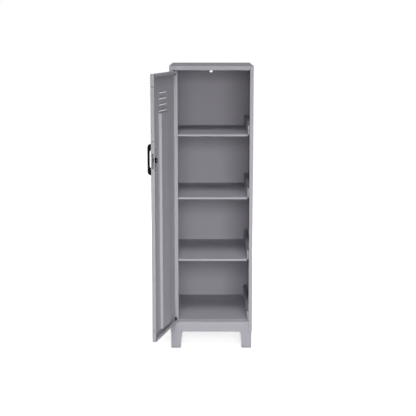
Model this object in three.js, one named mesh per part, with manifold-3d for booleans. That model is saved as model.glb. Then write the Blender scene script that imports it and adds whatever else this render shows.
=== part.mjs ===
// Narrow free-standing steel locker with one door, four shelves and tapered legs.
// Millimetres, +Z up, the door towards -Y, hinged on the left and standing open.
import * as THREE from 'three';
import { mergeVertices } from 'three/addons/utils/BufferGeometryUtils.js';
import Module from 'manifold-3d';

const wasm = await Module();
wasm.setup();

// Overall sizes
const WIDTH = 362;
const DEPTH = 457;
const HEIGHT = 1251.5;

// Sheet metal
const SHEET = 1;
const BEND = 1.5;
const BEND_STEPS = 4;
const SEAT_GAP = 0.3;

// Carcass
const LEG_HEIGHT = 76;
const BASE_HEIGHT = 46.5;
const TOP_RAIL = 19;
const RAIL_RETURN = 20;
const STILE = 16;
const STILE_RETURN = 18;
const REAR_FLANGE = 14;
const TOP_FLANGE = 12;
const ANCHOR_HOLE = 13;
const ANCHOR_DROP = 40;

// Shelves: turned-up ends with a ledge on top, a front lip and a low rear lip
const SHELF_COUNT = 4;
const SHELF_SETBACK = 22;
const SHELF_RISE = 2.8;
const SHELF_SIDE_GAP = 7;
const SHELF_LIP = 9;
const SHELF_HEM = 8;
const END_HEIGHT = 50;
const END_LEDGE = 12;
const END_CHEEK = 9;
const END_CHEEK_HEIGHT = 40;
const REAR_LIP = 22;
const LIP_CLEARANCE = 2;

// Hook rails that carry the shelf ends
const RAIL_DROP = 34;
const RAIL_END_GAP = 8;

// Legs and feet
const LEG_TOP = 56;
const LEG_FOOT = 43;
const LEG_INSET = 2.5;
const LEG_SHEET = 1.5;
const LEG_CORNER = 5;
const LEG_FLARE = 7;
const SOLE = 5;
const SOLE_RIM = 0.8;
const SOLE_ROUND = 2;
const FOOT_PLUG = 11;
const LEG_BOLT = 8;
const LEG_BOLT_HEAD = 14;
const LEG_BOLT_HEAD_HEIGHT = 5;
const LEG_NUT_HEIGHT = 6.5;

// Door
const DOOR_OPEN = 105;
const DOOR_GAP = 2;
const DOOR_TOP_GAP = 3;
const DOOR_THICK = 16;
const DOOR_LIP = 12;
const DOOR_LIP_END = 14;
const PIVOT_INSET = 6;
const PIVOT_DEPTH = 5.5;
const EDGE_HOLE = 6;
const EDGE_HOLE_END = 49.5;
const EDGE_HOLE_DROP = 270;

// Louvres pressed out of the door
const LOUVRE_COUNT = 4;
const LOUVRE_PITCH = 25;
const LOUVRE_DROP = 81.5;
const LOUVRE_LENGTH = 110;
const LOUVRE_RISE = 13;
const LOUVRE_DEPTH = 5.5;

// Hat-section stiffener inside the door
const HAT_WIDTH = 114;
const HAT_TAPER = 5;
const HAT_DEPTH = 11.5;
const HAT_FLANGE = 12;
const HAT_TOP_GAP = 7;
const HAT_BOTTOM_GAP = 26;

// Hinge pins and bushes
const PIN = 5;
const PIN_HEAD = 7;
const PIN_HEAD_HEIGHT = 1.6;
const PIN_PLAY = 0.2;
const BUSH_HEIGHT = 16;
const BUSH_WALL_GAP = 0.6;

// Bow handle
const HANDLE_LENGTH = 129;
const HANDLE_GAP = 74.5;
const HANDLE_REACH = 25;
const HANDLE_BAR = 6;
const HANDLE_WIDTH = 15;
const HANDLE_CORNER = 16;
const HANDLE_EDGE = 1.6;
const HANDLE_INSET = 58;
const HANDLE_SCREW = 4;
const HANDLE_SCREW_HEAD = 8;
const HANDLE_SCREW_HEAD_HEIGHT = 2.6;
const HANDLE_SCREW_REACH = 9;

// Cam lock
const LOCK_INSET = 32;
const LOCK_DROP = 349.5;
const LOCK_BARREL = 18;
const LOCK_FACE = 24;
const LOCK_FACE_HEIGHT = 2.2;
const LOCK_BARREL_DEPTH = 6.5;
const LOCK_NUT = 25;
const LOCK_NUT_HEIGHT = 4.4;
const PLUG = 12;
const PLUG_TAIL = 7;
const PLUG_TAIL_LENGTH = 3.2;
const KEYWAY_LENGTH = 7;
const KEYWAY_WIDTH = 1.6;
const KEYWAY_DEPTH = 4;
const CAM_SHEET = 2;
const CAM_WIDTH = 14;
const CAM_CATCH = 7.5;
const CAM_SLOT_PLAY = 3;
const CAM_SLOT_END_PLAY = 1.2;
const RETAINER = 22;
const RETAINER_HEIGHT = 5.5;
const CAM_SCREW = 3.2;
const CAM_SCREW_HEAD = 6.4;
const CAM_SCREW_HEAD_HEIGHT = 2.4;
const ROUND_STEPS = 20;

// Levels and planes worked out from the sizes above
const halfWidth = WIDTH / 2;
const frontY = -DEPTH / 2;
const rearY = DEPTH / 2;
const baseTop = LEG_HEIGHT + BASE_HEIGHT;
const railBottom = HEIGHT - TOP_RAIL;
const panelTop = HEIGHT - SHEET - SEAT_GAP;
const wallInside = halfWidth - SHEET;
const halfOpening = halfWidth - STILE;
const backOutside = rearY - SHEET - SEAT_GAP;
const backInside = backOutside - SHEET;
const floorLevel = baseTop + SHELF_RISE;
const shelfPitch = (railBottom - floorLevel) / SHELF_COUNT;
const shelfHalf = halfOpening - SHELF_SIDE_GAP;
const shelfFront = frontY + SHELF_SETBACK;
const shelfRear = backInside - SEAT_GAP;
const baseFlange = SHELF_SETBACK - LIP_CLEARANCE;
const foldOutside = BEND + SHEET;

const doorHalf = halfOpening - DOOR_GAP;
const doorBottom = baseTop + DOOR_GAP;
const doorTop = railBottom - DOOR_TOP_GAP;
const doorBack = frontY + DOOR_THICK;
const doorInside = frontY + SHEET;
const pivotX = -doorHalf + PIVOT_INSET;
const pivotY = frontY + PIVOT_DEPTH;
const lockX = doorHalf - LOCK_INSET;
const lockZ = doorTop - LOCK_DROP;
const handleX = doorHalf - HANDLE_INSET;
const handleZ = lockZ;
const lowestLouvre = doorTop - LOUVRE_DROP - (LOUVRE_COUNT - 1) * LOUVRE_PITCH;

// Depths in the lock, measured inwards from the door's outer face
const barrelEnd = LOCK_BARREL_DEPTH;
const plugEnd = barrelEnd + SEAT_GAP;
const camFront = plugEnd + SEAT_GAP;
const camRear = camFront + CAM_SHEET;
const retainerFront = camRear + SEAT_GAP;
const retainerRear = retainerFront + RETAINER_HEIGHT;
const tailEnd = plugEnd + PLUG_TAIL_LENGTH;
const camReach = LOCK_INSET + DOOR_GAP + SHEET + CAM_CATCH;
const camMiddle = frontY + (camFront + camRear) / 2;
const camSlotWidth = CAM_SHEET + 2 * CAM_SLOT_PLAY;
const camTip = Math.hypot(camReach, CAM_WIDTH / 4);
const camSlotHalf = Math.sqrt(camTip ** 2 - (LOCK_INSET - SHEET) ** 2) + CAM_SLOT_END_PLAY;

// Finishes
const finishes = {
  paint: { color: 0x9a999f, roughness: 0.5, metalness: 0.1 },
  black: { color: 0x17171a, roughness: 0.45, metalness: 0 },
  zinc: { color: 0xb4b6b8, roughness: 0.35, metalness: 1 },
  glide: { color: 0x77767b, roughness: 0.6, metalness: 0 },
};

// Turns a closed geometry into a solid that can be joined and cut.
function solid(geometry) {
  const bare = geometry.clone();
  bare.deleteAttribute('normal');
  bare.deleteAttribute('uv');
  const merged = mergeVertices(bare, 1e-4);
  const mesh = new wasm.Mesh({
    numProp: 3,
    vertProperties: new Float32Array(merged.attributes.position.array),
    triVerts: new Uint32Array(merged.index.array),
  });
  return new wasm.Manifold(mesh);
}

// Makes a named mesh from a solid.
function piece(name, body, finish) {
  const mesh = body.getMesh();
  const geometry = new THREE.BufferGeometry();
  geometry.setAttribute('position', new THREE.BufferAttribute(mesh.vertProperties, 3));
  geometry.setIndex(new THREE.BufferAttribute(mesh.triVerts, 1));
  geometry.computeVertexNormals();
  const result = new THREE.Mesh(geometry, new THREE.MeshStandardMaterial(finishes[finish]));
  result.name = name;
  return result;
}

function box(x0, x1, y0, y1, z0, z1) {
  const geometry = new THREE.BoxGeometry(x1 - x0, y1 - y0, z1 - z0);
  geometry.translate((x0 + x1) / 2, (y0 + y1) / 2, (z0 + z1) / 2);
  return solid(geometry);
}

function extruded(shape, depth) {
  return new THREE.ExtrudeGeometry(shape, { depth, bevelEnabled: false, curveSegments: BEND_STEPS });
}

// A section drawn in Y and Z, run along X.
function alongX(shape, x0, x1) {
  const geometry = extruded(shape, x1 - x0);
  const turn = new THREE.Matrix4().makeBasis(
    new THREE.Vector3(0, 1, 0),
    new THREE.Vector3(0, 0, 1),
    new THREE.Vector3(1, 0, 0),
  );
  geometry.applyMatrix4(turn);
  geometry.translate(x0, 0, 0);
  return solid(geometry);
}

// A section drawn in X and Z, run along Y.
function alongY(shape, y0, y1) {
  const geometry = extruded(shape, y1 - y0);
  geometry.rotateX(Math.PI / 2);
  geometry.translate(0, y1, 0);
  return solid(geometry);
}

// A section drawn in X and Y, run along Z.
function alongZ(shape, z0, z1) {
  const geometry = extruded(shape, z1 - z0);
  geometry.translate(0, 0, z0);
  return solid(geometry);
}

function outline(points) {
  return new THREE.Shape(points.map(([u, v]) => new THREE.Vector2(u, v)));
}

// The section of a folded sheet: a path along its middle, with every corner bent to a radius.
function foldedSheet(path, sheet = SHEET, bend = BEND) {
  const points = path.map(([u, v]) => new THREE.Vector2(u, v));
  const radius = bend + sheet / 2;
  const stations = [];
  for (let i = 0; i < points.length; i += 1) {
    const into = i > 0 ? points[i].clone().sub(points[i - 1]).normalize() : null;
    const out = i < points.length - 1 ? points[i + 1].clone().sub(points[i]).normalize() : null;
    if (!into || !out) {
      const along = into ?? out;
      stations.push({ at: points[i], normal: new THREE.Vector2(-along.y, along.x) });
      continue;
    }
    const turn = Math.atan2(into.cross(out), into.dot(out));
    const side = Math.sign(turn);
    const start = points[i].clone().addScaledVector(into, -radius * Math.tan(Math.abs(turn) / 2));
    const normal = new THREE.Vector2(-into.y, into.x);
    const centre = start.clone().addScaledVector(normal, side * radius);
    for (let step = 0; step <= BEND_STEPS; step += 1) {
      const angle = (turn * step) / BEND_STEPS;
      stations.push({
        at: start.clone().rotateAround(centre, angle),
        normal: normal.clone().rotateAround(new THREE.Vector2(), angle),
      });
    }
  }
  const left = stations.map(({ at, normal }) => at.clone().addScaledVector(normal, sheet / 2));
  const right = stations.map(({ at, normal }) => at.clone().addScaledVector(normal, -sheet / 2));
  return new THREE.Shape([...left, ...right.reverse()]);
}

// A rectangle whose corners at low v, or all four, are rounded.
function roundedRectangle(u0, u1, v0, v1, radius, allCorners = false) {
  const far = allCorners ? radius : 0;
  const shape = new THREE.Shape();
  shape.moveTo(u0 + radius, v0);
  shape.lineTo(u1 - radius, v0);
  shape.absarc(u1 - radius, v0 + radius, radius, -Math.PI / 2, 0);
  shape.lineTo(u1, v1 - far);
  if (far) shape.absarc(u1 - far, v1 - far, far, 0, Math.PI / 2);
  shape.lineTo(u0 + far, v1);
  if (far) shape.absarc(u0 + far, v1 - far, far, Math.PI / 2, Math.PI);
  shape.lineTo(u0, v0 + radius);
  shape.absarc(u0 + radius, v0 + radius, radius, Math.PI, 1.5 * Math.PI);
  return shape;
}

// A closed turned profile of [radius, height] points, about the Z axis.
function turned(profile, steps = ROUND_STEPS) {
  const points = profile.map(([r, h]) => new THREE.Vector2(r, h));
  const onAxis = profile[0][0] === 0;
  if (!onAxis) points.push(points[0].clone());
  const geometry = new THREE.LatheGeometry(points, steps);
  geometry.rotateX(Math.PI / 2);
  return geometry;
}

function rodZ(diameter, x, y, z0, z1) {
  const geometry = new THREE.CylinderGeometry(diameter / 2, diameter / 2, z1 - z0, ROUND_STEPS);
  geometry.rotateX(Math.PI / 2);
  geometry.translate(x, y, (z0 + z1) / 2);
  return solid(geometry);
}

function rodY(diameter, x, z, y0, y1) {
  const geometry = new THREE.CylinderGeometry(diameter / 2, diameter / 2, y1 - y0, ROUND_STEPS);
  geometry.translate(x, (y0 + y1) / 2, z);
  return solid(geometry);
}

function rodX(diameter, y, z, x0, x1) {
  const geometry = new THREE.CylinderGeometry(diameter / 2, diameter / 2, x1 - x0, ROUND_STEPS);
  geometry.rotateZ(Math.PI / 2);
  geometry.translate((x0 + x1) / 2, y, z);
  return solid(geometry);
}

// A turned profile of the lock: heights run inwards from the door's outer face.
function lockTurned(profile, steps = ROUND_STEPS) {
  const geometry = turned(profile, steps);
  geometry.rotateX(-Math.PI / 2);
  geometry.translate(lockX, frontY, lockZ);
  return solid(geometry);
}

// Side panel: wall, front stile with its return and rear flange folded from one sheet,
// with a flange along the top that carries the lid.
function sidePanel(side) {
  const middle = SHEET / 2;
  const section = foldedSheet([
    [side * (halfOpening + middle), frontY + STILE_RETURN],
    [side * (halfOpening + middle), frontY + middle],
    [side * (halfWidth - middle), frontY + middle],
    [side * (halfWidth - middle), rearY - middle],
    [side * (halfWidth - REAR_FLANGE), rearY - middle],
  ]);
  const inner = side * (halfWidth - TOP_FLANGE);
  const outer = side * (halfWidth - middle);
  const flange = box(
    Math.min(inner, outer),
    Math.max(inner, outer),
    frontY + STILE_RETURN + SEAT_GAP,
    rearY - REAR_FLANGE,
    panelTop - SHEET,
    panelTop,
  );
  return alongZ(section, LEG_HEIGHT, panelTop).add(flange);
}

// The slot in the right stile's return that the cam turns into.
function strikeSlot() {
  return box(
    halfOpening - SHEET,
    halfOpening + 2 * SHEET,
    camMiddle - camSlotWidth / 2,
    camMiddle + camSlotWidth / 2,
    lockZ - camSlotHalf,
    lockZ + camSlotHalf,
  );
}

// Back panel, held inside the rear flanges, with the hole for a wall anchor.
function backPanel() {
  const half = wallInside - BEND - SEAT_GAP;
  const sheet = box(-half, half, backInside, backOutside, LEG_HEIGHT, panelTop);
  const hole = rodY(ANCHOR_HOLE, 0, HEIGHT - ANCHOR_DROP, backInside - SHEET, backOutside + SHEET);
  return sheet.subtract(hole);
}

// Lid: top sheet, with a folded front rail between the stiles that holds the upper hinge pin.
function topPanel() {
  const middle = SHEET / 2;
  const rail = foldedSheet([
    [rearY, HEIGHT - middle],
    [frontY + middle, HEIGHT - middle],
    [frontY + middle, railBottom + middle],
    [frontY + RAIL_RETURN, railBottom + middle],
  ]);
  const railHalf = halfOpening - SEAT_GAP;
  const sheet = box(-halfWidth, halfWidth, frontY + foldOutside, rearY, HEIGHT - SHEET, HEIGHT);
  const ears = [-1, 1].map((side) => {
    const inner = side * (railHalf - foldOutside);
    const outer = side * halfWidth;
    return box(
      Math.min(inner, outer),
      Math.max(inner, outer),
      frontY,
      frontY + STILE_RETURN,
      HEIGHT - SHEET,
      HEIGHT,
    );
  });
  const pinHole = rodZ(PIN + 2 * SEAT_GAP, pivotX, pivotY, railBottom - SHEET, railBottom + 2 * SHEET);
  return alongX(rail, -railHalf, railHalf).add(sheet).add(ears[0]).add(ears[1]).subtract(pinHole);
}

// Plan of the base frame, moved inwards by an amount, with corners left for the stiles.
function basePlan(inset) {
  const half = wallInside - SEAT_GAP - inset;
  const neck = halfOpening - SEAT_GAP - inset;
  const front = frontY + inset;
  const step = frontY + STILE_RETURN + SEAT_GAP + inset;
  const rear = backInside - SEAT_GAP - inset;
  return outline([
    [-neck, front],
    [neck, front],
    [neck, step],
    [half, step],
    [half, rear],
    [-half, rear],
    [-half, step],
    [-neck, step],
  ]);
}

// Centre of a leg's bolt, at a corner.
function legBoltAt(sideX, sideY) {
  return [
    sideX * (halfWidth - LEG_INSET - LEG_FOOT / 2),
    sideY * (rearY - LEG_INSET - LEG_FOOT / 2),
  ];
}

const corners = [
  ['front_left', -1, -1],
  ['front_right', 1, -1],
  ['rear_left', -1, 1],
  ['rear_right', 1, 1],
];

// Base frame: a channel round all four sides, with a plate at each corner for a leg.
function baseFrame() {
  const whole = alongZ(basePlan(0), LEG_HEIGHT, baseTop);
  const plates = alongZ(basePlan(0), LEG_HEIGHT, LEG_HEIGHT + SHEET);
  const well = alongZ(basePlan(SHEET), LEG_HEIGHT + SHEET, baseTop - SHEET);
  const mouthHalf = wallInside - SEAT_GAP - baseFlange;
  const mouthFront = frontY + baseFlange;
  const mouthRear = backInside - SEAT_GAP - baseFlange;
  const mouth = box(-mouthHalf, mouthHalf, mouthFront, mouthRear, LEG_HEIGHT - SHEET, baseTop + SHEET);
  let frame = whole.subtract(well).subtract(mouth);
  for (const [, sideX, sideY] of corners) {
    const reachX = sideX * (halfWidth - LEG_INSET - LEG_TOP);
    const reachY = sideY * (rearY - LEG_INSET - LEG_TOP);
    const corner = box(
      Math.min(reachX, sideX * halfWidth),
      Math.max(reachX, sideX * halfWidth),
      Math.min(reachY, sideY * rearY),
      Math.max(reachY, sideY * rearY),
      LEG_HEIGHT,
      LEG_HEIGHT + SHEET,
    );
    const [boltX, boltY] = legBoltAt(sideX, sideY);
    const hole = rodZ(LEG_BOLT + 2 * SEAT_GAP, boltX, boltY, LEG_HEIGHT - SHEET, LEG_HEIGHT + 2 * SHEET);
    frame = frame.add(plates.intersect(corner)).subtract(hole);
  }
  const pinHole = rodZ(PIN + 2 * SEAT_GAP, pivotX, pivotY, baseTop - 2 * SHEET, baseTop + SHEET);
  return frame.subtract(pinHole);
}

// Shelf with turned-up ends; level is its top face.
function shelf(level) {
  const middle = SHEET / 2;
  const web = shelfHalf + middle;
  const ledge = shelfHalf + END_LEDGE;
  const section = foldedSheet([
    [-ledge, level + END_HEIGHT - middle],
    [-web, level + END_HEIGHT - middle],
    [-web, level - middle],
    [web, level - middle],
    [web, level + END_HEIGHT - middle],
    [ledge, level + END_HEIGHT - middle],
  ]);
  const deckFront = shelfFront + foldOutside;
  const lips = foldedSheet([
    [shelfFront + SHELF_HEM, level - SHELF_LIP + middle],
    [shelfFront + middle, level - SHELF_LIP + middle],
    [shelfFront + middle, level - middle],
    [shelfRear - middle, level - middle],
    [shelfRear - middle, level + REAR_LIP],
  ]);
  const lipHalf = shelfHalf - BEND - SEAT_GAP;
  let body = alongY(section, deckFront, shelfRear).add(alongX(lips, -lipHalf, lipHalf));
  for (const side of [-1, 1]) {
    const cheek = foldedSheet([
      [side * (shelfHalf + END_CHEEK), shelfFront + middle],
      [side * (shelfHalf + middle), shelfFront + middle],
      [side * (shelfHalf + middle), deckFront + foldOutside],
    ]);
    body = body.add(alongZ(cheek, level - SHEET, level + END_CHEEK_HEIGHT));
  }
  return body;
}

// Hook rail on a side wall: its upstand carries the ledge of a shelf end.
function shelfRail(side, level) {
  const middle = SHEET / 2;
  const wall = side * (wallInside - SEAT_GAP - middle);
  const upstand = side * (shelfHalf + END_LEDGE / 2 + middle);
  const crest = level + END_HEIGHT - SHEET - SEAT_GAP;
  const section = foldedSheet([
    [wall, crest],
    [wall, crest - RAIL_DROP],
    [upstand, crest - RAIL_DROP],
    [upstand, crest],
  ]);
  return alongY(section, shelfFront + RAIL_END_GAP, shelfRear - REAR_FLANGE);
}

// Leg: a tapered corner of folded plate, open behind, with a plate on top.
function leg(sideX, sideY) {
  const top = LEG_HEIGHT - SEAT_GAP;
  const outerX = sideX * (halfWidth - LEG_INSET);
  const outerY = sideY * (rearY - LEG_INSET);
  const taper = (outer, side, wall) => {
    const shape = new THREE.Shape();
    const at = (inward) => outer - side * inward;
    shape.moveTo(at(wall), SOLE);
    shape.lineTo(at(LEG_FOOT), SOLE);
    shape.lineTo(at(LEG_TOP - LEG_FLARE), top - LEG_FLARE);
    shape.quadraticCurveTo(at(LEG_TOP - LEG_FLARE), top - SHEET, at(LEG_TOP), top - SHEET);
    shape.lineTo(at(LEG_TOP), top);
    shape.lineTo(at(wall), top);
    return shape;
  };
  const span = (outer, side, reach) => [
    Math.min(outer, outer - side * reach),
    Math.max(outer, outer - side * reach),
  ];
  const [x0, x1] = span(outerX, sideX, LEG_TOP);
  const [y0, y1] = span(outerY, sideY, LEG_TOP);
  const plan = roundedRectangle(x0, x1, y0, y1, LEG_CORNER, true);
  const block = alongY(taper(outerX, sideX, 0), y0, y1)
    .intersect(alongX(taper(outerY, sideY, 0), x0, x1))
    .intersect(alongZ(plan, SOLE, top));
  const innerX = outerX - sideX * LEG_SHEET;
  const innerY = outerY - sideY * LEG_SHEET;
  const [hollowX0, hollowX1] = span(innerX, sideX, 2 * LEG_TOP);
  const [hollowY0, hollowY1] = span(innerY, sideY, 2 * LEG_TOP);
  const corner = LEG_CORNER - LEG_SHEET;
  const hollowPlan = roundedRectangle(hollowX0, hollowX1, hollowY0, hollowY1, corner, true);
  const hollow = alongZ(hollowPlan, SOLE - SHEET, top - LEG_SHEET);
  const [boltX, boltY] = legBoltAt(sideX, sideY);
  const hole = rodZ(LEG_BOLT + 2 * SEAT_GAP, boltX, boltY, top - 2 * LEG_SHEET, top + SHEET);
  return block.subtract(hollow).subtract(hole);
}

// Foot: a moulded glide under a leg, with a plug that sits inside the leg's corner.
function foot(sideX, sideY) {
  const outerX = sideX * (halfWidth - LEG_INSET + SOLE_RIM);
  const outerY = sideY * (rearY - LEG_INSET + SOLE_RIM);
  const soleReach = LEG_FOOT + 2 * SOLE_RIM;
  const pad = (gap, reach, radius, z0, z1) => {
    const nearX = outerX - sideX * gap;
    const nearY = outerY - sideY * gap;
    const plan = roundedRectangle(
      Math.min(nearX, nearX - sideX * reach),
      Math.max(nearX, nearX - sideX * reach),
      Math.min(nearY, nearY - sideY * reach),
      Math.max(nearY, nearY - sideY * reach),
      radius,
      true,
    );
    return alongZ(plan, z0, z1);
  };
  const plugGap = SOLE_RIM + LEG_SHEET + SEAT_GAP;
  const plugReach = soleReach - 2 * plugGap;
  const soleTop = SOLE - SEAT_GAP;
  const soleMiddle = soleReach / 2;
  const radius = LEG_CORNER + SOLE_RIM;
  const solePlan = roundedRectangle(-soleMiddle, soleMiddle, -soleMiddle, soleMiddle, radius, true);
  const soleGeometry = new THREE.ExtrudeGeometry(solePlan, {
    depth: soleTop - 2 * SOLE_ROUND,
    bevelThickness: SOLE_ROUND,
    bevelSize: SOLE_ROUND,
    bevelOffset: -SOLE_ROUND,
    bevelSegments: 2,
    curveSegments: BEND_STEPS,
  });
  soleGeometry.translate(outerX - sideX * soleMiddle, outerY - sideY * soleMiddle, SOLE_ROUND);
  return solid(soleGeometry).add(pad(plugGap, plugReach, LEG_CORNER - LEG_SHEET, soleTop - SHEET, soleTop + FOOT_PLUG));
}

// Bolt that holds a leg to the base frame: a domed head below, a nut above.
function legBolt(sideX, sideY) {
  const under = LEG_HEIGHT - SEAT_GAP - LEG_SHEET - SEAT_GAP;
  const over = LEG_HEIGHT + SHEET + SEAT_GAP;
  const end = over + LEG_NUT_HEIGHT + 2 * SHEET;
  const dome = LEG_BOLT_HEAD / 2 - SHEET;
  const [x, y] = legBoltAt(sideX, sideY);
  const stud = turned([
    [0, under - LEG_BOLT_HEAD_HEIGHT],
    [dome, under - LEG_BOLT_HEAD_HEIGHT],
    [LEG_BOLT_HEAD / 2, under - LEG_BOLT_HEAD_HEIGHT + SHEET],
    [LEG_BOLT_HEAD / 2, under],
    [LEG_BOLT / 2, under],
    [LEG_BOLT / 2, end],
    [0, end],
  ]);
  stud.translate(x, y, 0);
  const nut = new THREE.CylinderGeometry(LEG_BOLT_HEAD / 2, LEG_BOLT_HEAD / 2, LEG_NUT_HEIGHT, 6);
  nut.rotateX(Math.PI / 2);
  nut.translate(x, y, over + LEG_NUT_HEIGHT / 2);
  return solid(stud).add(solid(nut));
}

// Hinge pin: its head lies behind a flange, and its shank reaches through it into the door.
function hingePin(flangeFace, doorFace) {
  const towardsDoor = Math.sign(doorFace - flangeFace);
  const head = flangeFace - towardsDoor * (SHEET + SEAT_GAP);
  const tip = doorFace + towardsDoor * BUSH_HEIGHT;
  const profile = [
    [0, head - towardsDoor * PIN_HEAD_HEIGHT],
    [PIN_HEAD / 2, head - towardsDoor * PIN_HEAD_HEIGHT],
    [PIN_HEAD / 2, head],
    [PIN / 2, head],
    [PIN / 2, tip - towardsDoor * SHEET],
    [PIN / 2 - SHEET, tip],
    [0, tip],
  ];
  const geometry = turned(towardsDoor > 0 ? profile : profile.reverse());
  geometry.translate(pivotX, pivotY, 0);
  return solid(geometry);
}

// Hinge bush: a nylon sleeve in a door flange, with a collar in the gap beside it.
function hingeBush(doorFace, flangeFace) {
  const intoDoor = Math.sign(doorFace - flangeFace);
  const radius = PIVOT_DEPTH - SHEET - BUSH_WALL_GAP;
  const bore = PIN / 2 + PIN_PLAY;
  const collarTop = flangeFace + intoDoor * SEAT_GAP;
  const collarBottom = doorFace - intoDoor * SEAT_GAP;
  const sleeve = radius - SEAT_GAP;
  const end = doorFace + intoDoor * (SHEET + BUSH_HEIGHT);
  const profile = [
    [bore, collarTop],
    [radius + SEAT_GAP, collarTop],
    [radius + SEAT_GAP, collarBottom],
    [sleeve, collarBottom],
    [sleeve, end],
    [bore, end],
  ];
  const geometry = turned(intoDoor > 0 ? profile : profile.reverse());
  geometry.translate(pivotX, pivotY, 0);
  return solid(geometry);
}

// Half of an egg-shaped form on the door face, above a louvre's slit.
function louvreForm(slit, wall) {
  const geometry = new THREE.SphereGeometry(1, ROUND_STEPS, ROUND_STEPS / 2);
  geometry.rotateZ(Math.PI / 2);
  geometry.scale(LOUVRE_LENGTH / 2 - wall, LOUVRE_DEPTH - wall, LOUVRE_RISE - wall);
  geometry.translate(0, frontY + SHEET, slit);
  return solid(geometry);
}

// Door: a shallow pan with lips along its top and bottom flanges.
function doorPanel() {
  const pan = (wall, back) => {
    const radius = foldOutside - wall;
    const plan = roundedRectangle(-doorHalf + wall, doorHalf - wall, frontY + wall, back, radius);
    const side = new THREE.Shape();
    const front = frontY + wall;
    side.moveTo(back, doorBottom + wall);
    side.lineTo(back, doorTop - wall);
    side.lineTo(front + radius, doorTop - wall);
    side.absarc(front + radius, doorTop - wall - radius, radius, Math.PI / 2, Math.PI);
    side.lineTo(front, doorBottom + wall + radius);
    side.absarc(front + radius, doorBottom + wall + radius, radius, Math.PI, 1.5 * Math.PI);
    return alongZ(plan, doorBottom, doorTop).intersect(alongX(side, -doorHalf, doorHalf));
  };
  let door = pan(0, doorBack).subtract(pan(SHEET, doorBack + SHEET));

  const lipHalf = doorHalf - DOOR_LIP_END;
  const lipFront = doorBack - SHEET;
  door = door.add(box(-lipHalf, lipHalf, lipFront, doorBack, doorTop - DOOR_LIP, doorTop));
  door = door.add(box(-lipHalf, lipHalf, lipFront, doorBack, doorBottom, doorBottom + DOOR_LIP));

  for (let i = 0; i < LOUVRE_COUNT; i += 1) {
    const slit = doorTop - LOUVRE_DROP - i * LOUVRE_PITCH;
    const reach = LOUVRE_LENGTH;
    const above = box(-reach, reach, frontY - LOUVRE_DEPTH, doorInside, slit, slit + LOUVRE_RISE);
    const outer = louvreForm(slit, 0).intersect(above);
    door = door.add(outer).subtract(louvreForm(slit, SHEET).intersect(
      box(-reach, reach, frontY - LOUVRE_DEPTH, doorBack, slit - SHEET, slit + LOUVRE_RISE),
    ).subtract(box(-reach, reach, doorInside, doorBack, slit - SHEET, slit)));
  }

  const cuts = [
    rodY(LOCK_BARREL + 2 * SEAT_GAP, lockX, lockZ, frontY - SHEET, doorInside + SHEET),
    box(
      doorHalf - 2 * SHEET,
      doorHalf + SHEET,
      camMiddle - camSlotWidth / 2,
      camMiddle + camSlotWidth / 2,
      lockZ - camSlotHalf,
      lockZ + camSlotHalf,
    ),
  ];
  for (const end of [-1, 1]) {
    const screwZ = handleZ + end * handleScrewSpread;
    cuts.push(rodY(HANDLE_SCREW + 2 * SEAT_GAP, handleX, screwZ, frontY - SHEET, doorInside + SHEET));
  }
  for (const z of [doorTop - EDGE_HOLE_END, doorTop - EDGE_HOLE_DROP, doorBottom + EDGE_HOLE_END]) {
    cuts.push(rodX(EDGE_HOLE, frontY + DOOR_THICK / 2, z, doorHalf - 2 * SHEET, doorHalf + SHEET));
  }
  const bushHole = 2 * (PIVOT_DEPTH - SHEET - BUSH_WALL_GAP);
  cuts.push(rodZ(bushHole, pivotX, pivotY, doorTop - 2 * SHEET, doorTop + SHEET));
  cuts.push(rodZ(bushHole, pivotX, pivotY, doorBottom - SHEET, doorBottom + 2 * SHEET));
  return cuts.reduce((body, cut) => body.subtract(cut), door);
}

// Stiffener: a hat-section strip down the middle of the door.
function doorStiffener() {
  const half = HAT_WIDTH / 2;
  const base = doorInside + SEAT_GAP + SHEET / 2;
  const crown = doorInside + HAT_DEPTH - SHEET / 2;
  const section = foldedSheet([
    [-half - HAT_FLANGE, base],
    [-half, base],
    [-half + HAT_TAPER, crown],
    [half - HAT_TAPER, crown],
    [half, base],
    [half + HAT_FLANGE, base],
  ]);
  return alongZ(section, doorBottom + HAT_BOTTOM_GAP, lowestLouvre - HAT_TOP_GAP);
}

// Bow handle, with a blind hole in each foot.
const handleFoot = (HANDLE_LENGTH - HANDLE_GAP) / 2;
const handleScrewSpread = (HANDLE_GAP + handleFoot) / 2;

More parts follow.
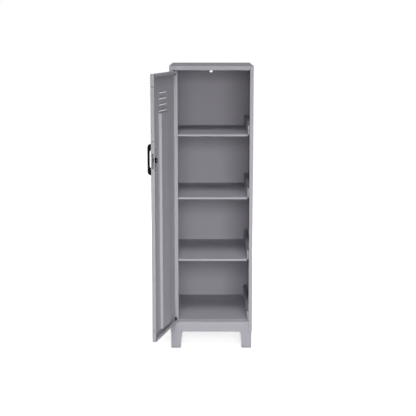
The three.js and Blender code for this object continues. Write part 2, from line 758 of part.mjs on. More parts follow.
function doorHandle() {
  const half = HANDLE_LENGTH / 2;
  const gap = HANDLE_GAP / 2;
  const face = frontY - SEAT_GAP;
  const crown = face - HANDLE_REACH - HANDLE_BAR;
  const palm = face - HANDLE_REACH;
  const inner = HANDLE_CORNER - HANDLE_BAR;
  const shape = new THREE.Shape();
  shape.moveTo(face, -half);
  shape.lineTo(face, -gap);
  shape.lineTo(palm + inner, -gap);
  shape.quadraticCurveTo(palm, -gap, palm, -gap + inner);
  shape.lineTo(palm, gap - inner);
  shape.quadraticCurveTo(palm, gap, palm + inner, gap);
  shape.lineTo(face, gap);
  shape.lineTo(face, half);
  shape.lineTo(crown + HANDLE_CORNER, half);
  shape.quadraticCurveTo(crown, half, crown, half - HANDLE_CORNER);
  shape.lineTo(crown, -half + HANDLE_CORNER);
  shape.quadraticCurveTo(crown, -half, crown + HANDLE_CORNER, -half);
  const geometry = new THREE.ExtrudeGeometry(shape, {
    depth: HANDLE_WIDTH - 2 * HANDLE_EDGE,
    bevelThickness: HANDLE_EDGE,
    bevelSize: HANDLE_EDGE,
    bevelOffset: -HANDLE_EDGE,
    bevelSegments: 3,
    curveSegments: 8,
  });
  const turn = new THREE.Matrix4().makeBasis(
    new THREE.Vector3(0, 1, 0),
    new THREE.Vector3(0, 0, 1),
    new THREE.Vector3(1, 0, 0),
  );
  geometry.applyMatrix4(turn);
  geometry.translate(handleX - HANDLE_WIDTH / 2 + HANDLE_EDGE, 0, handleZ);
  let handle = solid(geometry);
  for (const end of [-1, 1]) {
    const screwZ = handleZ + end * handleScrewSpread;
    const depth = HANDLE_SCREW_REACH + 2 * SEAT_GAP;
    handle = handle.subtract(rodY(HANDLE_SCREW + 2 * SEAT_GAP, handleX, screwZ, frontY - depth, frontY));
  }
  return handle;
}

// Handle screw: a pan head inside the door, its shank in the handle's foot.
function handleScrew(end) {
  const seat = SHEET + SEAT_GAP;
  const crest = seat + HANDLE_SCREW_HEAD_HEIGHT;
  const geometry = turned([
    [0, -HANDLE_SCREW_REACH],
    [HANDLE_SCREW / 2, -HANDLE_SCREW_REACH],
    [HANDLE_SCREW / 2, seat],
    [HANDLE_SCREW_HEAD / 2, seat],
    [HANDLE_SCREW_HEAD / 2, crest - SHEET],
    [HANDLE_SCREW_HEAD / 2 - SHEET, crest],
    [0, crest],
  ]);
  geometry.rotateX(-Math.PI / 2);
  geometry.translate(handleX, frontY, handleZ + end * handleScrewSpread);
  return solid(geometry);
}

// Lock housing: a round face outside the door and a barrel through it.
function lockHousing() {
  const bore = PLUG / 2 + SEAT_GAP;
  const face = -SEAT_GAP - LOCK_FACE_HEIGHT;
  return lockTurned([
    [bore, face],
    [LOCK_FACE / 2 - SHEET, face],
    [LOCK_FACE / 2, face + SHEET],
    [LOCK_FACE / 2, -SEAT_GAP],
    [LOCK_BARREL / 2, -SEAT_GAP],
    [LOCK_BARREL / 2, barrelEnd],
    [bore, barrelEnd],
  ]);
}

// Six-sided nut that clamps the housing to the door.
function lockNut() {
  const start = SHEET + SEAT_GAP;
  const end = start + LOCK_NUT_HEIGHT;
  const blank = lockTurned([
    [0, start],
    [LOCK_NUT / 2, start],
    [LOCK_NUT / 2, end],
    [0, end],
  ], 6);
  const bore = LOCK_BARREL + 2 * SEAT_GAP;
  return blank.subtract(rodY(bore, lockX, lockZ, frontY, frontY + end + SHEET));
}

// Plug that the key turns, with a tail through the cam and a hole for its screw.
function lockPlug() {
  const face = -SEAT_GAP - LOCK_FACE_HEIGHT + SEAT_GAP;
  const plug = lockTurned([
    [0, face],
    [PLUG / 2, face],
    [PLUG / 2, plugEnd],
    [PLUG_TAIL / 2, plugEnd],
    [PLUG_TAIL / 2, tailEnd],
    [0, tailEnd],
  ]);
  const keyway = box(
    lockX - KEYWAY_WIDTH / 2,
    lockX + KEYWAY_WIDTH / 2,
    frontY + face - SHEET,
    frontY + face + KEYWAY_DEPTH,
    lockZ - KEYWAY_LENGTH / 2,
    lockZ + KEYWAY_LENGTH / 2,
  );
  const tapped = rodY(
    CAM_SCREW + 2 * SEAT_GAP,
    lockX,
    lockZ,
    frontY + tailEnd - PLUG_TAIL_LENGTH,
    frontY + tailEnd + SHEET,
  );
  return plug.subtract(keyway).subtract(tapped);
}

// Cam: a flat tongue that hangs down when unlocked and turns out through the edge slots.
function lockCam() {
  const half = CAM_WIDTH / 2;
  const shape = new THREE.Shape();
  shape.moveTo(lockX - half, lockZ);
  shape.lineTo(lockX - half, lockZ - camReach + half / 2);
  shape.absarc(lockX - half / 2, lockZ - camReach + half / 2, half / 2, Math.PI, 1.5 * Math.PI);
  shape.absarc(lockX + half / 2, lockZ - camReach + half / 2, half / 2, 1.5 * Math.PI, 2 * Math.PI);
  shape.lineTo(lockX + half, lockZ);
  shape.absarc(lockX, lockZ, half, 0, Math.PI);
  const tongue = alongY(shape, frontY + camFront, frontY + camRear);
  const bore = PLUG_TAIL + 2 * SEAT_GAP;
  return tongue.subtract(rodY(bore, lockX, lockZ, frontY + camFront - SHEET, frontY + camRear + SHEET));
}

// Round cap that holds the cam on the plug, with a sunk screw hole.
function camRetainer() {
  const seat = tailEnd + SEAT_GAP;
  const sink = retainerRear - CAM_SCREW_HEAD_HEIGHT - SEAT_GAP;
  return lockTurned([
    [PLUG_TAIL / 2 + SEAT_GAP, retainerFront],
    [RETAINER / 2, retainerFront],
    [RETAINER / 2, retainerRear - SHEET],
    [RETAINER / 2 - SHEET, retainerRear],
    [CAM_SCREW_HEAD / 2 + SEAT_GAP, retainerRear],
    [CAM_SCREW_HEAD / 2 + SEAT_GAP, sink],
    [CAM_SCREW / 2 + SEAT_GAP, sink],
    [CAM_SCREW / 2 + SEAT_GAP, seat],
    [PLUG_TAIL / 2 + SEAT_GAP, seat],
  ]);
}

function camScrew() {
  const sink = retainerRear - CAM_SCREW_HEAD_HEIGHT;
  const tip = tailEnd - PLUG_TAIL_LENGTH + 2 * SEAT_GAP;
  return lockTurned([
    [0, tip],
    [CAM_SCREW / 2, tip],
    [CAM_SCREW / 2, sink],
    [CAM_SCREW_HEAD / 2, sink],
    [CAM_SCREW_HEAD / 2, retainerRear],
    [0, retainerRear],
  ]);
}

const carcass = new THREE.Group();
carcass.add(
  piece('left_side_panel', sidePanel(-1), 'paint'),
  piece('right_side_panel', sidePanel(1).subtract(strikeSlot()), 'paint'),
  piece('back_panel', backPanel(), 'paint'),
  piece('top_panel', topPanel(), 'paint'),
  piece('base_frame', baseFrame(), 'paint'),
  piece('hinge_pin_top', hingePin(railBottom, doorTop), 'zinc'),
  piece('hinge_pin_bottom', hingePin(baseTop, doorBottom), 'zinc'),
);
for (let i = 0; i < SHELF_COUNT; i += 1) {
  const level = floorLevel + i * shelfPitch;
  carcass.add(
    piece(`shelf_${i + 1}`, shelf(level), 'paint'),
    piece(`shelf_rail_${i + 1}_left`, shelfRail(-1, level), 'paint'),
    piece(`shelf_rail_${i + 1}_right`, shelfRail(1, level), 'paint'),
  );
}
for (const [corner, sideX, sideY] of corners) {
  carcass.add(
    piece(`leg_${corner}`, leg(sideX, sideY), 'paint'),
    piece(`foot_${corner}`, foot(sideX, sideY), 'glide'),
    piece(`leg_bolt_${corner}`, legBolt(sideX, sideY), 'zinc'),
  );
}

// Door pieces are drawn with the door shut, then swung open together about the hinge.
const doorShut = new THREE.Group();
doorShut.position.set(-pivotX, -pivotY, 0);
doorShut.add(
  piece('door_panel', doorPanel(), 'paint'),
  piece('door_stiffener', doorStiffener(), 'paint'),
  piece('hinge_bush_top', hingeBush(doorTop, railBottom), 'black'),
  piece('hinge_bush_bottom', hingeBush(doorBottom, baseTop), 'black'),
  piece('door_handle', doorHandle(), 'black'),
  piece('handle_screw_upper', handleScrew(1), 'zinc'),
  piece('handle_screw_lower', handleScrew(-1), 'zinc'),
  piece('lock_housing', lockHousing(), 'black'),
  piece('lock_nut', lockNut(), 'black'),
  piece('lock_plug', lockPlug(), 'zinc'),
  piece('lock_cam', lockCam(), 'zinc'),
  piece('cam_retainer', camRetainer(), 'black'),
  piece('cam_screw', camScrew(), 'zinc'),
);
const door = new THREE.Group();
door.position.set(pivotX, pivotY, 0);
door.rotation.z = -THREE.MathUtils.degToRad(DOOR_OPEN);
door.add(doorShut);

// The origin is on the floor, under the middle of the locker with its door open.
const locker = new THREE.Group();
locker.add(carcass, door);
locker.updateMatrixWorld(true);
const bounds = new THREE.Box3().setFromObject(locker, true);
const centre = bounds.getCenter(new THREE.Vector3());
locker.position.set(-centre.x, -centre.y, -bounds.min.z);
locker.updateMatrixWorld(true);

export default locker;
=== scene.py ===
"""Looks of a tall, narrow steel locker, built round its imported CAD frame.

Lengths are metres in the frame of the CAD model: +Z is up, the door opening faces -Y and the
door hangs on the -X side. Every CAD node is shown as a merged copy with its hard edges eased, in
the finish of its material slot.
"""

import logging
import math
from dataclasses import dataclass, field
from enum import Enum

import bmesh
import bpy
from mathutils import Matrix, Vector

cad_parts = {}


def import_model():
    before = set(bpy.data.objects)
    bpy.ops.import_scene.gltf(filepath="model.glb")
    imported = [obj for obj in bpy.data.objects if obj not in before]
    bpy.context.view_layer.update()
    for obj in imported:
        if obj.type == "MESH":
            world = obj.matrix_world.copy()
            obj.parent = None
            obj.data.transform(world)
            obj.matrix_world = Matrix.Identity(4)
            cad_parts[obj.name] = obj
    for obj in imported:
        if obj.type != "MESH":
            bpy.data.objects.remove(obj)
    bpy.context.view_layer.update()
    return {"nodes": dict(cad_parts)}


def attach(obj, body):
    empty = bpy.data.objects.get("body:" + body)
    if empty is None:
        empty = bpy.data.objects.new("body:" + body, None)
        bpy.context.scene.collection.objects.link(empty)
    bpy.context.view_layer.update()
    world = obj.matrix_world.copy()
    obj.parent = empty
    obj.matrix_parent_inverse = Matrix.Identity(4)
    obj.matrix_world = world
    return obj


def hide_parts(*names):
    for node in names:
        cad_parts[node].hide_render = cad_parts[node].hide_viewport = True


LOG = logging.getLogger("locker")
MERGE_DISTANCE = 1e-5
FLAT_ANGLE = math.radians(0.5)
SHARP_ANGLE = math.radians(35)
EASED_ANGLE = math.radians(50)
SENSOR_WIDTH = 36.0
LEVEL_PITCH = 90.0
WHITE = (1.0, 1.0, 1.0, 1.0)
MIX_FACTOR, MIX_DARK, MIX_LIGHT, MIX_COLOUR = 0, 6, 7, 2

Colour = tuple[float, float, float]


class Body(Enum):
    """The rigid bodies of the CAD model."""

    CARCASS = "carcass"
    DOOR = "door"
    LOCK = "lock"


class Slot(Enum):
    """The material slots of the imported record."""

    PAINT = "grey_powder_coat"
    BLACK = "black_plastic"
    ZINC = "zinc_steel"
    FOOT = "foot_plastic"


class Side(Enum):
    """The two sides of the carcass."""

    LEFT = "left"
    RIGHT = "right"


class Corner(Enum):
    """The four corners that a leg stands under."""

    FRONT_LEFT = "front_left"
    FRONT_RIGHT = "front_right"
    REAR_LEFT = "rear_left"
    REAR_RIGHT = "rear_right"


def add_node(tree: bpy.types.NodeTree, kind: str, **inputs: object) -> bpy.types.Node:
    """Adds a shader node and sets its plain input values.

    Args:
        tree: The node tree that gets the node.
        kind: The node's type name.
        inputs: Values by socket name, with underscores for spaces.

    Returns:
        The new node.
    """
    node = tree.nodes.new(kind)
    for name, value in inputs.items():
        node.inputs[name.replace("_", " ")].default_value = value
    return node


class SurfaceGroups:
    """Shader node groups that several finishes share."""

    GRAIN = "surface_grain"
    HANDLING = "handling_marks"
    FINE_NOISE = {"Detail": 2.0, "Roughness": 0.55}
    BROAD_NOISE = {"Detail": 3.0, "Roughness": 0.5}
    RUB_NOISE = {"Detail": 4.0, "Roughness": 0.62, "Distortion": 0.6}
    FULL_RUB = 0.85

    def __init__(self) -> None:
        """Builds each group once."""
        self.grain = self._grain()
        self.handling = self._handling()

    @staticmethod
    def _start(name: str, inputs: tuple[str, ...], outputs: tuple[str, ...]) -> bpy.types.NodeTree:
        """Starts a group that reads a position and some plain numbers.

        Args:
            name: The group's name.
            inputs: Names of its number inputs.
            outputs: Names of its number outputs.

        Returns:
            The group's tree, with its input and output nodes in place.
        """
        tree = bpy.data.node_groups.new(name, "ShaderNodeTree")
        tree.interface.new_socket("Position", in_out="INPUT", socket_type="NodeSocketVector")
        for label in inputs:
            tree.interface.new_socket(label, in_out="INPUT", socket_type="NodeSocketFloat")
        for label in outputs:
            tree.interface.new_socket(label, in_out="OUTPUT", socket_type="NodeSocketFloat")
        tree.nodes.new("NodeGroupInput")
        tree.nodes.new("NodeGroupOutput")
        return tree

    def _grain(self) -> bpy.types.NodeTree:
        """A fine grain for bumps and a broad drift of tone.

        Returns:
            The group, with outputs Height and Tone.
        """
        tree = self._start(self.GRAIN, ("Fine Scale", "Broad Scale"), ("Height", "Tone"))
        given, made = tree.nodes["Group Input"], tree.nodes["Group Output"]
        fine = add_node(tree, "ShaderNodeTexNoise", **self.FINE_NOISE)
        broad = add_node(tree, "ShaderNodeTexNoise", **self.BROAD_NOISE)
        tree.links.new(given.outputs["Position"], fine.inputs["Vector"])
        tree.links.new(given.outputs["Fine Scale"], fine.inputs["Scale"])
        tree.links.new(given.outputs["Position"], broad.inputs["Vector"])
        tree.links.new(given.outputs["Broad Scale"], broad.inputs["Scale"])
        tree.links.new(fine.outputs["Fac"], made.inputs["Height"])
        tree.links.new(broad.outputs["Fac"], made.inputs["Tone"])
        return tree

    def _handling(self) -> bpy.types.NodeTree:
        """Faint patches where hands and boxes have rubbed the finish.

        Returns:
            The group, with the output Mask.
        """
        tree = self._start(self.HANDLING, ("Scale", "Threshold"), ("Mask",))
        given, made = tree.nodes["Group Input"], tree.nodes["Group Output"]
        patches = add_node(tree, "ShaderNodeTexNoise", **self.RUB_NOISE)
        ramp = add_node(tree, "ShaderNodeMapRange", From_Max=self.FULL_RUB)
        ramp.interpolation_type = "SMOOTHSTEP"
        tree.links.new(given.outputs["Position"], patches.inputs["Vector"])
        tree.links.new(given.outputs["Scale"], patches.inputs["Scale"])
        tree.links.new(patches.outputs["Fac"], ramp.inputs["Value"])
        tree.links.new(given.outputs["Threshold"], ramp.inputs["From Min"])
        tree.links.new(ramp.outputs["Result"], made.inputs["Mask"])
        return tree


@dataclass(frozen=True)
class Finish:
    """A surface finish that a material is made from.

    Attributes:
        name: The material's name.
        slot: The record's slot that it belongs to.
        colour: Linear base colour.
        tone_shift: Share by which the broad drift darkens or lightens the colour.
        roughness: Roughness of the untouched finish.
        rubbed_roughness: Roughness where it has been rubbed.
        metallic: Metalness of the surface.
        specular: Level of the shine that isn't tinted by the colour.
        fine_scale: Cells of grain to a metre.
        broad_scale: Drifts of tone to a metre.
        grain_height: Height of the grain.
        grain_strength: Strength of the grain's bump.
        rub_scale: Rubbed patches to a metre.
        rub_threshold: Noise level above which the finish counts as rubbed.
    """

    name: str
    slot: Slot
    colour: Colour
    tone_shift: float
    roughness: float
    rubbed_roughness: float
    metallic: float
    specular: float
    fine_scale: float
    broad_scale: float
    grain_height: float
    grain_strength: float
    rub_scale: float
    rub_threshold: float

    def _shifted(self, share: float) -> tuple[float, float, float, float]:
        """The base colour made lighter or darker by a share."""
        return (*(channel * (1 + share) for channel in self.colour), 1.0)

    def material(self, groups: SurfaceGroups) -> bpy.types.Material:
        """Makes the finish's material.

        Args:
            groups: The shared node groups.

        Returns:
            The material.
        """
        made = bpy.data.materials.new(self.name)
        made.use_nodes = True
        tree = made.node_tree
        shader = tree.nodes["Principled BSDF"]
        shader.inputs["Metallic"].default_value = self.metallic
        shader.inputs["Specular IOR Level"].default_value = self.specular
        place = tree.nodes.new("ShaderNodeTexCoord").outputs["Object"]

        grain = tree.nodes.new("ShaderNodeGroup")
        grain.node_tree = groups.grain
        grain.inputs["Fine Scale"].default_value = self.fine_scale
        grain.inputs["Broad Scale"].default_value = self.broad_scale
        tree.links.new(place, grain.inputs["Position"])

        handling = tree.nodes.new("ShaderNodeGroup")
        handling.node_tree = groups.handling
        handling.inputs["Scale"].default_value = self.rub_scale
        handling.inputs["Threshold"].default_value = self.rub_threshold
        tree.links.new(place, handling.inputs["Position"])

        tone = tree.nodes.new("ShaderNodeMix")
        tone.data_type = "RGBA"
        tone.inputs[MIX_DARK].default_value = self._shifted(-self.tone_shift)
        tone.inputs[MIX_LIGHT].default_value = self._shifted(self.tone_shift)
        tree.links.new(grain.outputs["Tone"], tone.inputs[MIX_FACTOR])
        tree.links.new(tone.outputs[MIX_COLOUR], shader.inputs["Base Color"])

        gloss = add_node(
            tree,
            "ShaderNodeMapRange",
            To_Min=self.roughness,
            To_Max=self.rubbed_roughness,
        )
        tree.links.new(handling.outputs["Mask"], gloss.inputs["Value"])
        tree.links.new(gloss.outputs["Result"], shader.inputs["Roughness"])

        bump = add_node(
            tree,
            "ShaderNodeBump",
            Strength=self.grain_strength,
            Distance=self.grain_height,
        )
        tree.links.new(grain.outputs["Height"], bump.inputs["Height"])
        tree.links.new(bump.outputs["Normal"], shader.inputs["Normal"])
        return made


POWDER_COAT = Finish(
    name="grey_powder_coat",
    slot=Slot.PAINT,
    colour=(0.42, 0.41, 0.451),
    tone_shift=0.03,
    roughness=0.68,
    rubbed_roughness=0.6,
    metallic=0.0,
    specular=0.1,
    fine_scale=900.0,
    broad_scale=5.0,
    grain_height=0.00012,
    grain_strength=0.25,
    rub_scale=7.0,
    rub_threshold=0.55,
)
BLACK_PLASTIC = Finish(
    name="black_plastic",
    slot=Slot.BLACK,
    colour=(0.005, 0.005, 0.0055),
    tone_shift=0.1,
    roughness=0.6,
    rubbed_roughness=0.52,
    metallic=0.0,
    specular=0.05,
    fine_scale=1600.0,
    broad_scale=30.0,
    grain_height=0.0001,
    grain_strength=0.3,
    rub_scale=45.0,
    rub_threshold=0.5,
)
ZINC_STEEL = Finish(
    name="zinc_steel",
    slot=Slot.ZINC,
    colour=(0.55, 0.56, 0.57),
    tone_shift=0.08,
    roughness=0.34,
    rubbed_roughness=0.24,
    metallic=1.0,
    specular=0.5,
    fine_scale=700.0,
    broad_scale=60.0,
    grain_height=0.00004,
    grain_strength=0.2,
    rub_scale=90.0,
    rub_threshold=0.5,
)
FOOT_PLASTIC = Finish(
    name="foot_plastic",
    slot=Slot.FOOT,
    colour=(0.36, 0.354, 0.372),
    tone_shift=0.06,
    roughness=0.6,
    rubbed_roughness=0.5,
    metallic=0.0,
    specular=0.4,
    fine_scale=1300.0,
    broad_scale=25.0,
    grain_height=0.00012,
    grain_strength=0.3,
    rub_scale=40.0,
    rub_threshold=0.5,
)


class Finishes:
    """The materials of the locker, each made once."""

    def __init__(self) -> None:
        """Makes one material for each finish."""
        groups = SurfaceGroups()
        chosen = (POWDER_COAT, BLACK_PLASTIC, ZINC_STEEL, FOOT_PLASTIC)
        self.by_slot = {finish.slot: finish.material(groups) for finish in chosen}

    def dress(self, piece: bpy.types.Object, slot: Slot) -> None:
        """Gives a piece the material of its slot.

        Args:
            piece: The piece to dress.
            slot: The slot that names its finish.
        """
        piece.data.materials.clear()
        piece.data.materials.append(self.by_slot[slot])


@dataclass(frozen=True)
class Ease:
    """How the hard edges of a piece are rounded.

    Attributes:
        width: Width of the rounding.
        shortest: Edges shorter than this stay as cut.
        segments: Steps across the rounding.
        angle: Edges that turn by more than this are rounded.
    """

    width: float
    shortest: float = 0.0
    segments: int = 2
    angle: float = EASED_ANGLE


SHEET_EDGE = Ease(width=0.0002, shortest=0.03)
TURNED_EDGE = Ease(width=0.0002)
CAST_EDGE = Ease(width=0.0005)
MOULDED_EDGE = Ease(width=0.0006)


def eased_mesh(node: bpy.types.Object, ease: Ease) -> bpy.types.Mesh:
    """Copies a CAD node's mesh, merged, with its hard edges rounded.

    Args:
        node: The CAD node.
        ease: How its edges are rounded.

    Returns:
        The new mesh, shaded smooth between its sharp edges.
    """
    shape = bmesh.new()
    shape.from_mesh(node.data)
    bmesh.ops.remove_doubles(shape, verts=shape.verts, dist=MERGE_DISTANCE)
    bmesh.ops.dissolve_limit(
        shape,
        angle_limit=FLAT_ANGLE,
        verts=shape.verts,
        edges=shape.edges,
        use_dissolve_boundaries=False,
    )
    hard = [
        edge
        for edge in shape.edges
        if edge.is_manifold
        and edge.calc_face_angle() > ease.angle
        and edge.calc_length() >= ease.shortest
    ]
    bmesh.ops.bevel(
        shape,
        geom=hard,
        offset=ease.width,
        offset_type="OFFSET",
        affect="EDGES",
        segments=ease.segments,
        profile=0.5,
        clamp_overlap=True,
        material=-1,
    )
    bmesh.ops.remove_doubles(shape, verts=shape.verts, dist=MERGE_DISTANCE)
    for face in shape.faces:
        face.smooth = True
    for edge in shape.edges:
        edge.smooth = edge.is_manifold and edge.calc_face_angle() < SHARP_ANGLE
    mesh = bpy.data.meshes.new(node.name + "_dressed")
    shape.to_mesh(mesh)
    shape.free()
    return mesh


@dataclass
class SubAssembly:
    """Pieces that are made and dressed together.

    Attributes:
        nodes: The CAD nodes by name.
        finishes: The locker's materials.
        body: The CAD body that the pieces ride on.
        pieces: What has been made so far, with each piece's slot.
    """

    nodes: dict[str, bpy.types.Object]
    finishes: Finishes
    body: Body
    pieces: list[tuple[bpy.types.Object, Slot]] = field(default_factory=list)

    def eased(self, node: str, slot: Slot, ease: Ease) -> None:
        """Makes the piece that stands for a CAD node, riding on the assembly's body.

        Args:
            node: The node's name.
            slot: The slot of its finish.
            ease: How its edges are rounded.
        """
        piece = bpy.data.objects.new(node + "_dressed", eased_mesh(self.nodes[node], ease))
        bpy.context.scene.collection.objects.link(piece)
        weighted = piece.modifiers.new("flat_faces", "WEIGHTED_NORMAL")
        weighted.keep_sharp = True
        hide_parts(node)
        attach(piece, self.body.value)
        self.pieces.append((piece, slot))

    def build(self) -> None:
        """Makes the assembly's pieces."""
        raise NotImplementedError

    def dress(self) -> None:
        """Gives each piece its finish and reports it."""
        for piece, slot in self.pieces:
            self.finishes.dress(piece, slot)
            LOG.info("%s: %d faces, %s", piece.name, len(piece.data.polygons), slot.value)


@dataclass
class Shell(SubAssembly):
    """Folded panels of the carcass: two sides, back, lid and base frame."""

    edge: Ease = SHEET_EDGE

    def build(self) -> None:
        """Makes the panels."""
        for side in Side:
            self.eased(f"{side.value}_side_panel", Slot.PAINT, self.edge)
        for panel in ("back_panel", "top_panel", "base_frame"):
            self.eased(panel, Slot.PAINT, self.edge)


@dataclass
class ShelfStack(SubAssembly):
    """Four shelves with turned-up ends, on hook rails."""

    count: int = 4
    edge: Ease = SHEET_EDGE

    def build(self) -> None:
        """Makes each shelf and its two rails."""
        for number in range(1, self.count + 1):
            self.eased(f"shelf_{number}", Slot.PAINT, self.edge)
            for side in Side:
                self.eased(f"shelf_rail_{number}_{side.value}", Slot.PAINT, self.edge)


@dataclass
class LegSet(SubAssembly):
    """Four tapered legs with their bolts and moulded feet."""

    leg_edge: Ease = SHEET_EDGE
    foot_edge: Ease = MOULDED_EDGE
    bolt_edge: Ease = CAST_EDGE

    def build(self) -> None:
        """Makes a leg, a foot and a bolt at each corner."""
        for corner in Corner:
            self.eased(f"leg_{corner.value}", Slot.PAINT, self.leg_edge)
            self.eased(f"foot_{corner.value}", Slot.FOOT, self.foot_edge)
            self.eased(f"leg_bolt_{corner.value}", Slot.ZINC, self.bolt_edge)


@dataclass
class HingePins(SubAssembly):
    """The two pins that the door swings on."""

    edge: Ease = TURNED_EDGE

    def build(self) -> None:
        """Makes both pins."""
        for end in ("top", "bottom"):
            self.eased(f"hinge_pin_{end}", Slot.ZINC, self.edge)


@dataclass
class DoorLeaf(SubAssembly):
    """The louvred door pan with its stiffener and hinge bushes."""

    pan_edge: Ease = SHEET_EDGE
    bush_edge: Ease = TURNED_EDGE

    def build(self) -> None:
        """Makes the pan, the stiffener and the bushes."""
        self.eased("door_panel", Slot.PAINT, self.pan_edge)
        self.eased("door_stiffener", Slot.PAINT, self.pan_edge)
        for end in ("top", "bottom"):
            self.eased(f"hinge_bush_{end}", Slot.BLACK, self.bush_edge)


@dataclass
class BowHandle(SubAssembly):
    """The bow handle and its two screws."""

    handle_edge: Ease = MOULDED_EDGE
    screw_edge: Ease = TURNED_EDGE

    def build(self) -> None:
        """Makes the handle and the screws."""
        self.eased("door_handle", Slot.BLACK, self.handle_edge)
        for end in ("upper", "lower"):
            self.eased(f"handle_screw_{end}", Slot.ZINC, self.screw_edge)


@dataclass
class LockHousing(SubAssembly):
    """The lock's fixed half: its housing and the nut that clamps it."""

    edge: Ease = CAST_EDGE

    def build(self) -> None:
        """Makes the housing and the nut."""
        for node in ("lock_housing", "lock_nut"):
            self.eased(node, Slot.BLACK, self.edge)


@dataclass
class LockCore(SubAssembly):
    """The lock's turning half: plug, cam, retainer and screw."""

    edge: Ease = TURNED_EDGE

    def build(self) -> None:
        """Makes the turning pieces."""
        for node in ("lock_plug", "lock_cam", "cam_screw"):
            self.eased(node, Slot.ZINC, self.edge)
        self.eased("cam_retainer", Slot.BLACK, self.edge)


@dataclass(frozen=True)
class SoftBox:
    """A rectangular studio lamp.

    Attributes:
        name: The lamp's name.
        place: Its middle.
        target: The point that it faces.
        width: Its width.
        height: Its height.
        power: Its power in watts.
        spread: Angle that its light fans out over, in degrees.
    """

    name: str
    place: tuple[float, float, float]
    target: tuple[float, float, float]
    width: float
    height: float
    power: float
    spread: float = 180.0

    def build(self) -> None:
        """Hangs the lamp."""
        data = bpy.data.lights.new(self.name, "AREA")
        data.shape = "RECTANGLE"
        data.size, data.size_y = self.width, self.height
        data.energy = self.power
        data.spread = math.radians(self.spread)
        lamp = bpy.data.objects.new(self.name, data)
        lamp.location = self.place
        aim = Vector(self.target) - Vector(self.place)
        lamp.rotation_euler = aim.to_track_quat("-Z", "Y").to_euler()
        bpy.context.scene.collection.objects.link(lamp)


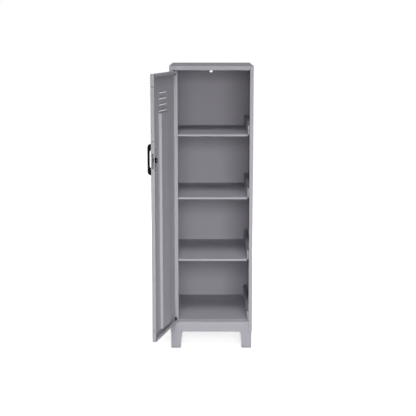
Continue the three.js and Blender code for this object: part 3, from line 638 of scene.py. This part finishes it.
@dataclass
class Studio:
    """White floor, pale world, soft lamps and the photograph's camera.

    Attributes:
        floor_half: Half the floor's side.
        floor_colour: Floor colour as light falls on it.
        floor_white: Share of plain white that the camera sees on the floor by the locker.
        shadow_near: Distance from the locker's middle up to which the floor keeps that share.
        shadow_far: Distance from which the floor is plain white.
        ambient: Strength of the world's light.
        camera_place: Where the camera stands.
        camera_tilt: How far it looks down, in degrees.
        lens: Focal length in millimetres.
        shift: Vertical lens shift, as a share of the frame.
        lamps: The soft boxes.
    """

    floor_half: float = 40.0
    floor_colour: float = 0.9
    floor_white: float = 0.66
    shadow_near: float = 0.35
    shadow_far: float = 1.0
    ambient: float = 0.02
    camera_place: tuple[float, float, float] = (0.02584, -4.36334, 1.397)
    camera_tilt: float = 9.35
    lens: float = 86.3
    shift: float = -0.03
    lamps: tuple[SoftBox, ...] = (
        SoftBox(
            name="front_box",
            place=(0.25, -3.2, 1.25),
            target=(0.05, 0.0, 0.4),
            width=1.6,
            height=1.1,
            power=8.3,
            spread=60.0,
        ),
        SoftBox(
            name="upper_box",
            place=(0.3, -4.0, 5.6),
            target=(0.05, -0.2, 0.3),
            width=3.4,
            height=2.0,
            power=176.0,
        ),
        SoftBox(
            name="rear_left_box",
            place=(-3.0, 3.0, 1.0),
            target=(0.0, 0.1, 0.6),
            width=1.6,
            height=1.2,
            power=70.0,
        ),
        SoftBox(
            name="rear_right_box",
            place=(3.0, 3.0, 1.0),
            target=(0.1, 0.1, 0.6),
            width=1.6,
            height=1.2,
            power=60.0,
        ),
    )

    @staticmethod
    def _seen_as_background(tree: bpy.types.NodeTree) -> bpy.types.NodeSocket:
        """A socket that is 1 for camera, glossy and transmission rays, and 0 for the rest.

        Args:
            tree: The tree of the floor's or the world's material.

        Returns:
            The socket.
        """
        path = tree.nodes.new("ShaderNodeLightPath")
        total = path.outputs["Is Camera Ray"]
        for name in ("Is Glossy Ray", "Is Transmission Ray"):
            either = tree.nodes.new("ShaderNodeMath")
            either.operation = "MAXIMUM"
            tree.links.new(total, either.inputs[0])
            tree.links.new(path.outputs[name], either.inputs[1])
            total = either.outputs["Value"]
        return total

    def build_floor(self) -> None:
        """Lays a white floor that keeps the locker's shadow."""
        shape = bmesh.new()
        bmesh.ops.create_grid(shape, x_segments=1, y_segments=1, size=self.floor_half)
        mesh = bpy.data.meshes.new("floor")
        shape.to_mesh(mesh)
        shape.free()
        floor = bpy.data.objects.new("floor", mesh)
        bpy.context.scene.collection.objects.link(floor)
        paint = bpy.data.materials.new("floor_white")
        paint.use_nodes = True
        tree = paint.node_tree
        tree.nodes.clear()
        lit = add_node(tree, "ShaderNodeBsdfDiffuse", Color=(*(self.floor_colour,) * 3, 1.0))
        white = add_node(tree, "ShaderNodeEmission", Color=WHITE)
        away = tree.nodes.new("ShaderNodeVectorMath")
        away.operation = "LENGTH"
        fade = add_node(
            tree,
            "ShaderNodeMapRange",
            From_Min=self.shadow_near,
            From_Max=self.shadow_far,
            To_Min=self.floor_white,
            To_Max=1.0,
        )
        fade.interpolation_type = "SMOOTHSTEP"
        share = tree.nodes.new("ShaderNodeMath")
        share.operation = "MULTIPLY"
        both = tree.nodes.new("ShaderNodeAddShader")
        out = tree.nodes.new("ShaderNodeOutputMaterial")
        place = tree.nodes.new("ShaderNodeTexCoord").outputs["Object"]
        tree.links.new(place, away.inputs[0])
        tree.links.new(away.outputs["Value"], fade.inputs["Value"])
        tree.links.new(self._seen_as_background(tree), share.inputs[0])
        tree.links.new(fade.outputs["Result"], share.inputs[1])
        tree.links.new(share.outputs["Value"], white.inputs["Strength"])
        tree.links.new(lit.outputs["BSDF"], both.inputs[0])
        tree.links.new(white.outputs["Emission"], both.inputs[1])
        tree.links.new(both.outputs["Shader"], out.inputs["Surface"])
        floor.data.materials.append(paint)

    def build_world(self) -> None:
        """Makes a world that looks white and lights the locker softly."""
        world = bpy.data.worlds.new("studio")
        world.use_nodes = True
        tree = world.node_tree
        tree.nodes.clear()
        soft = add_node(tree, "ShaderNodeBackground", Color=WHITE, Strength=self.ambient)
        white = add_node(tree, "ShaderNodeBackground", Color=WHITE, Strength=1.0)
        mix = tree.nodes.new("ShaderNodeMixShader")
        out = tree.nodes.new("ShaderNodeOutputWorld")
        tree.links.new(self._seen_as_background(tree), mix.inputs["Fac"])
        tree.links.new(soft.outputs["Background"], mix.inputs[1])
        tree.links.new(white.outputs["Background"], mix.inputs[2])
        tree.links.new(mix.outputs["Shader"], out.inputs["Surface"])
        bpy.context.scene.world = world

    def build_camera(self) -> None:
        """Sets up the camera at the photograph's viewpoint."""
        data = bpy.data.cameras.new("camera")
        data.sensor_width = SENSOR_WIDTH
        data.lens = self.lens
        data.shift_y = self.shift
        data.dof.use_dof = False
        camera = bpy.data.objects.new("camera", data)
        camera.location = self.camera_place
        camera.rotation_euler = (math.radians(LEVEL_PITCH - self.camera_tilt), 0.0, 0.0)
        bpy.context.scene.collection.objects.link(camera)
        bpy.context.scene.camera = camera

    def build(self) -> None:
        """Sets up everything round the locker."""
        bpy.context.scene.view_settings.view_transform = "Standard"
        self.build_floor()
        self.build_world()
        for lamp in self.lamps:
            lamp.build()
        self.build_camera()


def main() -> None:
    """Builds the locker and its studio in order."""
    logging.basicConfig(level=logging.INFO, format="%(message)s")
    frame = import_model()
    nodes = frame["nodes"]
    finishes = Finishes()
    assemblies = (
        Shell(nodes, finishes, Body.CARCASS),
        ShelfStack(nodes, finishes, Body.CARCASS),
        LegSet(nodes, finishes, Body.CARCASS),
        HingePins(nodes, finishes, Body.CARCASS),
        DoorLeaf(nodes, finishes, Body.DOOR),
        BowHandle(nodes, finishes, Body.DOOR),
        LockHousing(nodes, finishes, Body.DOOR),
        LockCore(nodes, finishes, Body.LOCK),
    )
    for assembly in assemblies:
        assembly.build()
        assembly.dress()
    Studio().build()


if __name__ == "__main__":
    main()
